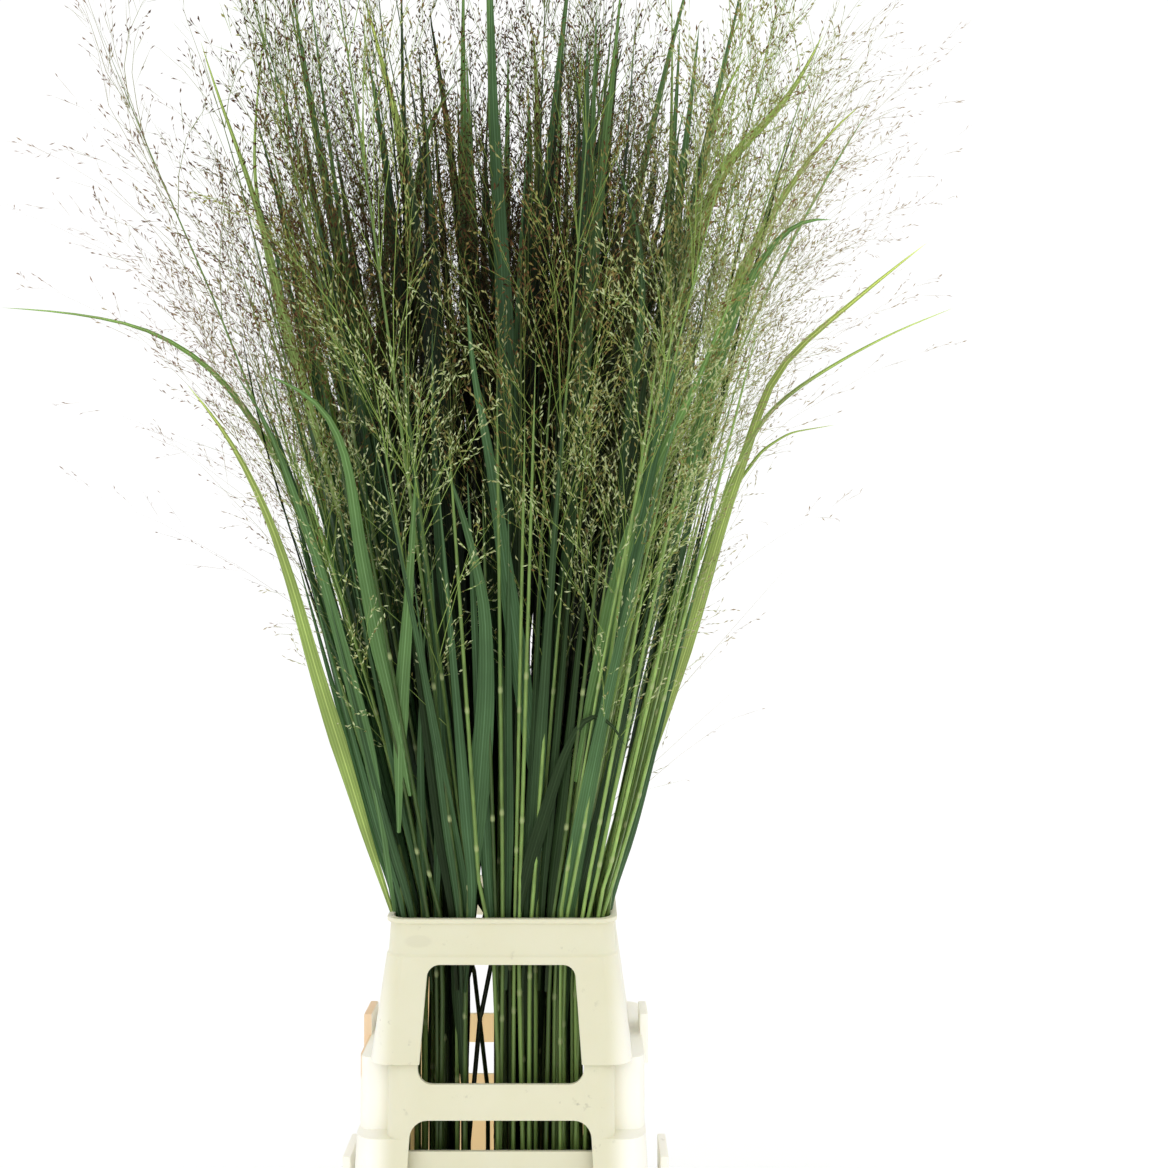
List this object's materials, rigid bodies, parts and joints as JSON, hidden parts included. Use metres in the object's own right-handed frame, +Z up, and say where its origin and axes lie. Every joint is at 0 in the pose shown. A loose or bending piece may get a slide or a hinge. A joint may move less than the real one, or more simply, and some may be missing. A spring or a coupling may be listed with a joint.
{
  "type": "cut switchgrass in a flower bucket",
  "caption": "Leafy switchgrass stems with open airy panicles, fanned out of a cream flower bucket that carries two stacked collars with windows.",
  "frame": {"origin": "middle of the bucket's flat underside, where it stands on the ground", "axes": "+Z up, -Y towards the front, where the collars' windows face the viewer; +X to the viewer's right"},
  "size_m": [0.8732, 0.6837, 1.2967],
  "materials": {
    "cream_plastic": "moulded polypropylene, slightly worn",
    "grass": "living green grass",
    "water": "clear"
  },
  "bodies": {
    "root": {"bucket": "cream_plastic", "lower_collar": "cream_plastic", "upper_collar": "cream_plastic", "water": "water", "stem_01": "grass", "stem_02": "grass", "stem_03": "grass", "stem_04": "grass", "stem_05": "grass", "stem_06": "grass", "stem_07": "grass", "stem_08": "grass", "stem_09": "grass", "stem_10": "grass", "stem_11": "grass", "stem_12": "grass", "stem_13": "grass", "stem_14": "grass", "stem_15": "grass", "stem_16": "grass", "stem_17": "grass", "stem_18": "grass", "stem_19": "grass", "stem_20": "grass", "stem_21": "grass", "stem_22": "grass", "stem_23": "grass", "stem_24": "grass", "stem_25": "grass", "stem_26": "grass", "stem_27": "grass", "stem_28": "grass", "stem_29": "grass", "stem_30": "grass", "stem_31": "grass", "stem_32": "grass", "stem_33": "grass", "stem_34": "grass", "stem_35": "grass", "stem_36": "grass"}
  },
  "joints": []
}
